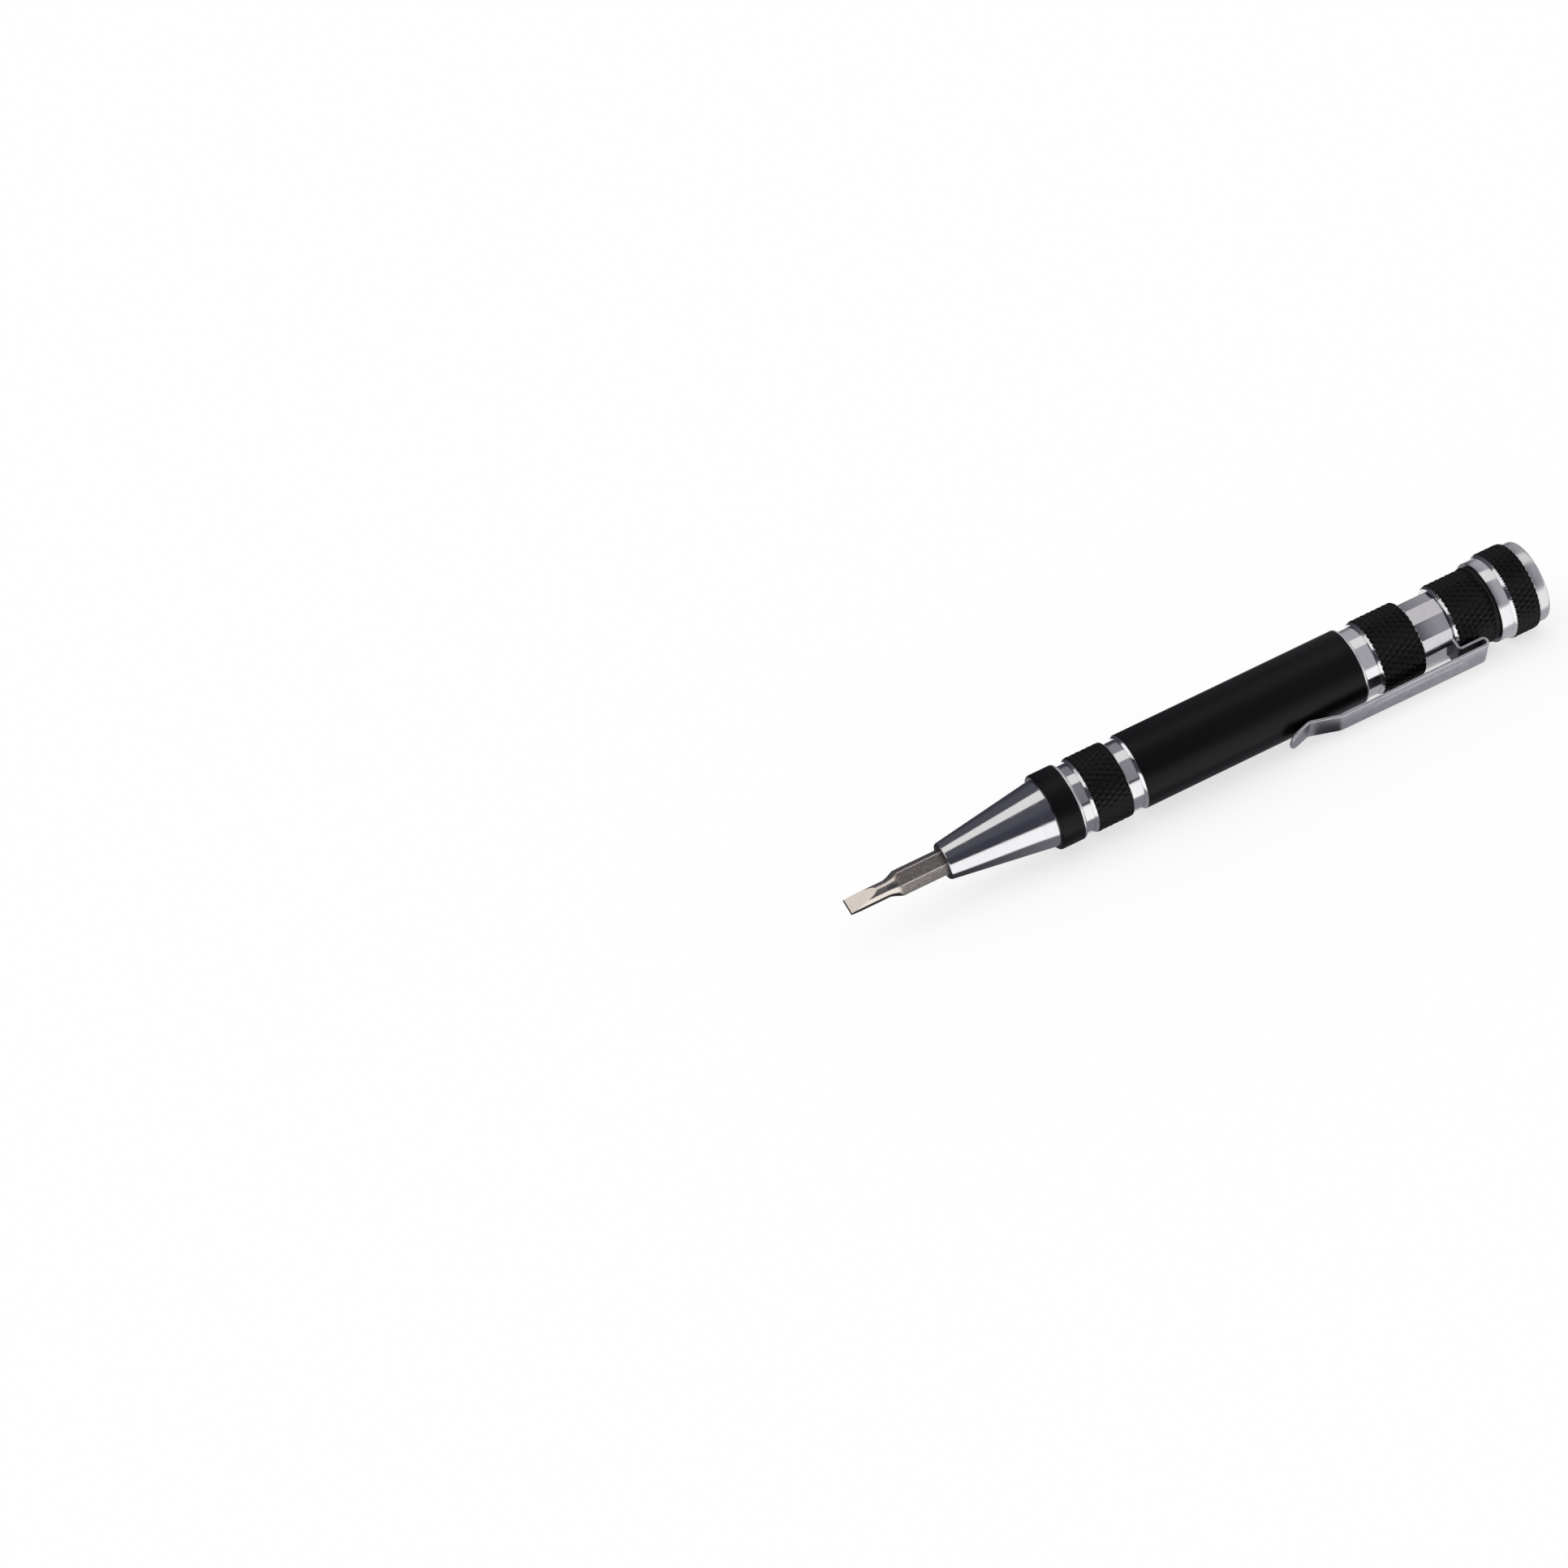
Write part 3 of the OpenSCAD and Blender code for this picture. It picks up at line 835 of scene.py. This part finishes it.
bitLook = {
    "flats": 4, "turn": -80, "bladeTurn": -14.5, "neck": 2.9, "bladeThick": 0.4, "bladeSlope": 13.2,
    "cornerRound": 0.985, "flareStart": 7.0, "flarePower": 1.3, "hexStart": 9.3, "tailCut": 0.25,
    "twistStart": 5.8, "twistRun": 1.2, "widestGrind": 0.997, "sideColumns": 40, "faceColumns": 20,
    "fineStep": 0.1, "fineRun": 0.8, "coarseStep": 0.75, "coarseRows": 22, "endRoom": 0.05,
    "sharpAngle": 24,
}


# the slotted bit: wedge-ground blade, round neck, flared run into the hexagon
def makeDriverBit():
    look = bitLook
    length = ends("driver_bit")[1]
    cornerRadius = look["flats"] / math.sqrt(3)
    neck = look["neck"] / 2
    grindRise = math.tan(math.radians(look["bladeSlope"]))
    tailStart = length - look["tailCut"]

    def roundRadius(station):
        if station < look["hexStart"]:
            share = (station - look["flareStart"]) / (look["hexStart"] - look["flareStart"])
            return neck + (cornerRadius - neck) * share ** look["flarePower"]
        return cornerRadius - max(0, station - length + look["tailCut"])

    def halfThick(station):
        return look["bladeThick"] / 2 + grindRise * station

    def backShare(station):
        return min(max((station - look["twistStart"]) / look["twistRun"], 0), 1)

    # the columns gather at the blade's corners, and at the hexagon's further back
    def cornerAngle(station):
        ground = math.degrees(math.asin(min(halfThick(station) / neck, look["widestGrind"])))
        return ground * (1 - backShare(station)) + 60 * backShare(station)

    def outAt(station, angle):
        if station < look["flareStart"]:
            slope = abs(math.sin(math.radians(angle)))
            return min(neck, halfThick(station) / max(slope, 1e-6))
        hexAngle = math.radians((angle % 60) - 30)
        out = min(roundRadius(station), look["flats"] / 2 / math.cos(hexAngle))
        return min(out, cornerRadius * look["cornerRound"])

    fineEnd = look["hexStart"] + look["fineRun"]
    stations = [step * look["fineStep"] for step in range(round(fineEnd / look["fineStep"]) + 1)]
    stations += [fineEnd + step * look["coarseStep"] for step in range(1, look["coarseRows"] + 1)]
    stations = [station for station in stations if station < tailStart - look["endRoom"]]
    stations += [tailStart, length]
    sides = look["sideColumns"]
    faces = look["faceColumns"]
    rings = []
    for station in stations:
        corner = cornerAngle(station)
        angles = [-corner + 2 * corner * step / sides for step in range(sides)]
        angles += [corner + (180 - 2 * corner) * step / faces for step in range(faces)]
        angles += [angle + 180 for angle in angles]
        twist = look["turn"] + 90 + look["bladeTurn"] * (1 - backShare(station))
        ring = []
        for angle in angles:
            out = outAt(station, angle)
            turn = math.radians(angle + twist)
            ring.append(spot(station, out * math.cos(turn), out * math.sin(turn)))
        rings.append(ring)
    bit = lofted("driver_bit_ground", rings, [bitSteel], look["sharpAngle"], lambda column: 0)
    settle(bit, "bit", "bit_steel", "driver_bit")


bandLook = {
    "facets": 12, "facetTurn": 4, "boreRound": 0.06, "edgeRound": 0.14, "skinShare": 0.6, "sharpAngle": 20,
}


# the clip's band round the tube is bent in flats, not rolled round
def bentBand(outer, sheet):
    look = bandLook
    outline = [
        (bandStart, outer - sheet, look["boreRound"], 0),
        (bandStart, outer, look["edgeRound"], 0),
        (bandEnd, outer, look["edgeRound"], 0),
        (bandEnd, outer - sheet, look["boreRound"], 0),
    ]
    band = turned("clip_band_rolled", outline, [polishedNickel], columnsOf["band"])
    half = math.pi / look["facets"]
    upTurn = math.radians(look["facetTurn"]) * (1 if clipSide.z > 0 else -1)
    onAxis = Vector((0, axisY, axisZ))
    for vertex in band.data.vertices:
        arm = vertex.co - onAxis
        arm.x = 0
        if arm.length > (outer - sheet * look["skinShare"]) * mm:
            turn = math.atan2(arm.dot(clipSide), arm.dot(clipOut)) - upTurn
            fromFlat = (turn + half) % (2 * half) - half
            vertex.co += arm * (math.cos(half) / math.cos(fromFlat) - 1)
    band.data.set_sharp_from_angle(angle=math.radians(look["sharpAngle"]))
    return band


# blendRun is a reach from the leg, forwards and outwards, from which two points are found and not used
clipLook = {
    "sheet": 0.5, "width": 5.56, "tipWidth": 4.6, "edgeRound": 0.2, "bendRadius": 0.46, "legGap": 0.25,
    "setback": 3.04, "armLength": 26.9, "dip": 5.4, "restGap": 0.18, "tip": 3.9, "tipRise": 1.2,
    "bendReach": 0.5, "tipRound": 0.36, "plainPart": 1 / 3, "blendRun": (0.05, 0.495),
    "ribLength": 17.4, "ribWidth": 1.9, "ribRise": 0.09, "ribEdge": 0.7, "ribBack": 4.5,
    "curveSteps": 6, "bendSteps": 12, "armSteps": 60, "dipSteps": 5, "tipSteps": 14, "sideSteps": 16,
    "edgeSteps": 4, "sharpAngle": 40,
}


# band, riser, leg, U-bend and arm from one strip of sheet
def makeClip():
    look = clipLook
    sheet = look["sheet"]
    legMid = gripRadius + look["legGap"] + sheet / 2
    bendMid = look["bendRadius"] + sheet / 2
    bendOut = legMid + bendMid
    armMid = bendOut + bendMid
    bendAt = tubeEnd - look["setback"] - look["bendRadius"] - sheet
    contact = sleeveRadius + look["restGap"] + sheet / 2
    riserAt = bandEnd - sheet / 2
    bandOuter = storeRadius + walls["groove"] + walls["press"] + sheet
    dipStart = bendAt - look["armLength"]
    tipStart = dipStart - look["dip"]
    tipEnd = tipStart - look["tip"]

    def bent(before, corner, after):
        corner = Vector(corner)
        first = corner + (Vector(before) - corner).normalized() * look["bendReach"]
        last = corner + (Vector(after) - corner).normalized() * look["bendReach"]
        return curve(first, corner, last, look["curveSteps"])

    def run(first, last, steps):
        return [Vector(first).lerp(Vector(last), step / steps) for step in range(1, steps)]

    riserFoot = (riserAt, bandOuter - sheet / 2)
    riserTop = (riserAt, legMid)
    legEnd = (bendAt, legMid)
    armStart = (bendAt, armMid)
    armEnd = (dipStart, armMid)
    touch = (tipStart, contact)
    tip = (tipEnd, contact + look["tipRise"])
    path = [Vector(riserFoot)]
    path += bent(riserFoot, riserTop, legEnd)
    path.append(Vector(legEnd))
    for step in range(1, look["bendSteps"]):
        turn = math.pi * step / look["bendSteps"]
        path.append(Vector((bendAt + bendMid * math.sin(turn), bendOut - bendMid * math.cos(turn))))
    path.append(Vector(armStart))
    armFrom = len(path) + 1
    bendOne = bent(armStart, armEnd, touch)
    bendTwo = bent(armEnd, touch, tip)
    path += run(armStart, bendOne[0], look["armSteps"])
    path += bendOne
    path += run(bendOne[-1], bendTwo[0], look["dipSteps"])
    path += bendTwo
    path += run(bendTwo[-1], tip, look["tipSteps"])
    path.append(Vector(tip))

    tipRound = look["tipWidth"] * look["tipRound"]
    taperStart = bendAt - look["armLength"] * look["plainPart"]

    def halfWidth(index):
        station = path[index].x
        if index < armFrom or station > taperStart:
            return look["width"] / 2
        share = (taperStart - station) / (taperStart - tipEnd)
        half = look["width"] / 2 + (look["tipWidth"] - look["width"]) / 2 * share
        left = station - tipEnd
        if left < tipRound:
            half += math.sqrt(max(tipRound ** 2 - (tipRound - left) ** 2, 0)) - tipRound
        return half

    ribStart = bendAt + look["bendRadius"] + sheet - look["ribBack"] - look["ribLength"]
    ribHalf = look["ribWidth"] / 2

    def ribAt(index, side):
        if index < armFrom:
            return 0
        station = path[index].x
        nearest = min(max(station, ribStart + ribHalf), ribStart + look["ribLength"] - ribHalf)
        away = math.hypot(station - nearest, side) - ribHalf
        share = min(max(0.5 - away / look["ribEdge"], 0), 1)
        return look["ribRise"] * share * share * (3 - 2 * share)

    edge = look["edgeRound"]
    flatEdge = sheet / 2 - edge
    edgeTurns = [math.pi / 2 * step / look["edgeSteps"] for step in range(1, look["edgeSteps"])]
    sideCount = 2 * look["sideSteps"] + 1

    # outer face, rounded edge, inner face, rounded edge
    def profileAt(index):
        half = halfWidth(index)
        flat = half - edge
        sides = [-flat]
        sides += [flat * (step / look["sideSteps"] - 1) for step in range(1, 2 * look["sideSteps"])]
        sides.append(flat)
        profile = [(side, sheet / 2 + ribAt(index, side)) for side in sides]
        profile += [(flat + edge * math.sin(a), flatEdge + edge * math.cos(a)) for a in edgeTurns]
        profile += [(half, flatEdge), (half, -flatEdge)]
        profile += [(flat + edge * math.cos(a), -flatEdge - edge * math.sin(a)) for a in edgeTurns]
        profile += [(side, ribAt(index, side) - sheet / 2) for side in reversed(sides)]
        profile += [(-flat - edge * math.sin(a), -flatEdge - edge * math.cos(a)) for a in edgeTurns]
        profile += [(-half, -flatEdge), (-half, flatEdge)]
        profile += [(-flat - edge * math.cos(a), flatEdge + edge * math.sin(a)) for a in edgeTurns]
        return profile

    rings = []
    for index, point in enumerate(path):
        ahead = path[min(index + 1, len(path) - 1)]
        behind = path[max(index - 1, 0)]
        heading = (ahead - behind).normalized()
        outward = Vector((heading.y, -heading.x))
        ring = []
        for side, lift in profileAt(index):
            at = point + outward * lift
            out = at.y
            if index == 0:
                out = math.sqrt((bandOuter - sheet / 2) ** 2 - side ** 2)
            ring.append(spot(at.x, out, side))
        rings.append(ring)

    insideFrom = sideCount + 2 * len(edgeTurns) + 2

    # the inner face takes the darker nickel, a painted shade
    def finishAt(column):
        return int(insideFrom <= column < insideFrom + sideCount - 1)

    clip = lofted("pocket_clip", rings, [nickelPlate, shadedInsideNickel], look["sharpAngle"], finishAt)

    band = bentBand(bandOuter, sheet)
    bpy.ops.object.select_all(action="DESELECT")
    band.select_set(True)
    clip.select_set(True)
    bpy.context.view_layer.objects.active = clip
    bpy.ops.object.join()
    forwards, outwards = look["blendRun"]
    bendStart = spot(bandEnd - sheet, legMid + sheet / 2, 0)
    bendStop = spot(bandEnd - sheet - forwards, legMid + sheet / 2 + outwards, 0)
    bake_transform(clip)
    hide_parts("clip_band", "clip_arm")
    print("pocket_clip made:", len(clip.data.polygons), "faces")


# hidden steel pieces keep their CAD shape and get their finish
def finishKeptNodes():
    kept = {"bit_socket": socketSteel, "rest_retaining_ring": socketSteel, "socket_magnet": nickelPlate}
    for name in frame["nodes"]:
        if name.startswith("spare_"):
            kept[name] = bitSteel
    for name, finish in kept.items():
        mesh = frame["nodes"][name].data
        mesh.materials.clear()
        mesh.materials.append(finish)
    print("kept nodes finished:", len(kept))


makeNoseCone()
makeCoreTube()
makeNoseRing()
makeBarrelSleeve()
makeKnurledRings()
makeCapBody()
makeFingerRest()
makeCapSeal()
makeCapPad()
makeDriverBit()
makeClip()
finishKeptNodes()

white = (1, 1, 1, 1)
black = (0, 0, 0, 1)

# what metal shows of the room: dark at the nose end, pale at the tail end, with a panel beyond the nose
roomLook = {
    "dark": (0.042, 0.042, 0.058, 1), "upper": (0.07, 0.07, 0.09, 1), "pale": (0.39, 0.38, 0.41, 1),
    "tailTurn": (0.17, 0.39), "upperTurn": (0.32, 0.66), "rearTurn": (0.8, 0.95), "rearShift": 0.1,
    "panel": (0.9, 0.9, 0.92, 1), "panelRise": (0.35, 0.41, 0.6, 0.68), "panelTurn": (-0.7, -0.62),
}
softboxLook = {"size": (2.4, 0.314), "at": (0, -0.043, 0.5), "level": 0.77, "tint": (1.0, 0.98, 0.97)}

# Run is along the tool and Side across it, in metres: underNose, underFront and underTail are a painted
# shade of the tool in what metal shows
floorLook = {
    "paint": (0.99, 0.99, 0.99, 1), "size": 6, "lift": 0.68, "paperEdge": (0.03, 0.075),
    "underNose": (0.03, 0.03, 0.035, 1), "underFront": (0.23, 0.22, 0.25, 1),
    "underTail": (0.44, 0.43, 0.46, 1), "underHalf": (0.0043, 0.008), "underRun": (-0.05, -0.028),
    "underSoft": 0.0008, "frontRun": (-0.05, -0.012), "tailRun": (-0.012, 0.06),
    "aheadRun": (-0.048, -0.044), "aheadSide": (0.003, 0.006),
    "dipAt": (0.0206, -0.005), "dipRun": (0.0018, 0.0026), "dipSide": (0.003, 0.004),
    "contactRun": (-0.03, -0.015, 0.054, 0.061), "contactSide": (0.0014, 0.0026, 0.0035, 0.007),
}


def makeFloor():
    look = floorLook
    skin = bmesh.new()
    bmesh.ops.create_grid(skin, x_segments=2, y_segments=2, size=look["size"] / 2)
    mesh = meshOf(skin, "floor")
    floor = bpy.data.objects.new("floor", mesh)
    scene.collection.objects.link(floor)
    paint = bpy.data.materials.new("pale floor")
    paint.use_nodes = True
    paint.node_tree.nodes.clear()
    web = Web(paint.node_tree)
    # metal shows the white paper near the object, a painted shade of the tool below it and the dim room
    # beyond
    ray = web.add("ShaderNodeLightPath", None, None, out="Is Camera Ray")
    mirrored = ray.also("Is Glossy Ray")
    along = web.add("ShaderNodeSeparateXYZ", None, {0: web.place()})
    across = along.also("Y")
    beyond = web.ramp(abs(across), *look["paperEdge"])
    tailward = along / (along * along + across * across) ** 0.5
    room = web.mix(web.ramp(tailward, *roomLook["tailTurn"]), roomLook["dark"], roomLook["pale"])
    soft = look["underSoft"]
    shadeHalf = web.ramp(along, *look["underRun"], *look["underHalf"])
    shaded = web.fade(abs(across - axisY) - shadeHalf, -soft, soft)
    ahead = web.fade(along, *look["aheadRun"]) * web.ramp(across, *look["aheadSide"])
    underShade = web.mix(web.ramp(along, *look["frontRun"]), look["underNose"], look["underFront"])
    underShade = web.mix(web.ramp(along, *look["tailRun"]), underShade, look["underTail"])
    # a darker painted shade below the dip of the clip
    dipAlong, dipAcross = look["dipAt"]
    dipShade = web.fade(abs(along - dipAlong), *look["dipRun"])
    dipShade = dipShade * web.fade(abs(across - dipAcross), *look["dipSide"])
    underShade = web.mix(dipShade, underShade, look["underNose"])
    paper = web.mix(shaded.most(ahead), white, underShade)
    seen = web.mix(ray, web.mix(beyond, paper, room), white)
    matte = web.add("ShaderNodeBsdfDiffuse", None, {"Color": look["paint"]})
    glow = web.add("ShaderNodeEmission", None, {"Color": seen, "Strength": 1.0})
    # the shade is kept whole close to where the tool touches the paper
    contact = web.window(across, *look["contactSide"]) * web.window(along, *look["contactRun"])
    share = mirrored.most(ray * look["lift"] * (1 - contact))
    lifted = web.add("ShaderNodeMixShader", None, {0: share, 1: matte, 2: glow})
    web.add("ShaderNodeOutputMaterial", None, {"Surface": lifted})
    mesh.materials.append(paint)


def makeRoom():
    look = roomLook
    world = bpy.data.worlds.new("studio")
    world.use_nodes = True
    world.node_tree.nodes.clear()
    scene.world = world
    web = Web(world.node_tree)
    # the room is white to the eye, and metal shows it dim, with the softbox's own place left dark
    mirrored = web.add("ShaderNodeLightPath", None, None, out="Is Glossy Ray")
    facing = web.add("ShaderNodeTexCoord", None, None, out="Generated")
    tailward = web.add("ShaderNodeSeparateXYZ", None, {0: facing})
    rearward = tailward.also("Y")
    upward = tailward.also("Z")
    dark = web.mix(web.ramp(upward, *look["upperTurn"]), look["dark"], look["upper"])
    paleAt = tailward - web.ramp(rearward, *look["rearTurn"]) * look["rearShift"]
    room = web.mix(web.ramp(paleAt, *look["tailTurn"]), dark, look["pale"])
    panel = web.window(upward, *look["panelRise"]) * web.fade(tailward, *look["panelTurn"])
    room = web.mix(panel, room, look["panel"])
    middle, height = softboxLook["at"][1:]
    height = height - axisZ
    half = softboxLook["size"][1] / 2
    lean = rearward / upward
    hidden = (lean > (middle - half) / height) * (lean < (middle + half) / height) * (upward > 0)
    dim = web.mix(hidden, room, black)
    seen = web.mix(mirrored, white, dim)
    backdrop = web.add("ShaderNodeBackground", None, {"Color": seen})
    web.add("ShaderNodeOutputWorld", None, {"Surface": backdrop})


def makeSoftbox():
    look = softboxLook
    lamp = bpy.data.lights.new("overhead softbox", "AREA")
    lamp.shape = "RECTANGLE"
    lamp.size, lamp.size_y = look["size"]
    lamp.energy = math.pi * lamp.size * lamp.size_y * look["level"]
    lamp.color = look["tint"]
    softbox = bpy.data.objects.new("overhead softbox", lamp)
    softbox.location = look["at"]
    softbox.visible_diffuse = False
    scene.collection.objects.link(softbox)


# the photograph's viewpoint: aim is where the lens points, roll tips the frame
cameraLook = {
    "aim": (-0.0611, 0.02294, 0.02148), "distance": 0.65853, "azimuth": 12.003, "elevation": 24.370,
    "roll": -20.340, "lens": 93.17, "sensor": 36, "clipStart": 0.01,
}


def makeCamera():
    look = cameraLook
    azimuth = math.radians(look["azimuth"])
    elevation = math.radians(look["elevation"])
    roll = math.radians(look["roll"])
    flat = math.cos(elevation)
    forward = Vector((math.sin(azimuth) * flat, math.cos(azimuth) * flat, -math.sin(elevation)))
    level = forward.cross(Vector((0, 0, 1))).normalized()
    upright = level.cross(forward)
    right = level * math.cos(roll) + upright * math.sin(roll)
    top = upright * math.cos(roll) - level * math.sin(roll)
    lens = bpy.data.cameras.new("camera")
    lens.lens = look["lens"]
    lens.sensor_width = look["sensor"]
    lens.clip_start = look["clipStart"]
    camera = bpy.data.objects.new("camera", lens)
    place = Vector(look["aim"]) - forward * look["distance"]
    axes = Matrix((right, top, -forward)).transposed().to_4x4()
    camera.matrix_world = Matrix.Translation(place) @ axes
    scene.collection.objects.link(camera)
    scene.camera = camera


makeFloor()
makeRoom()
makeSoftbox()
makeCamera()
print("stage and camera set")

bpy.context.view_layer.update()
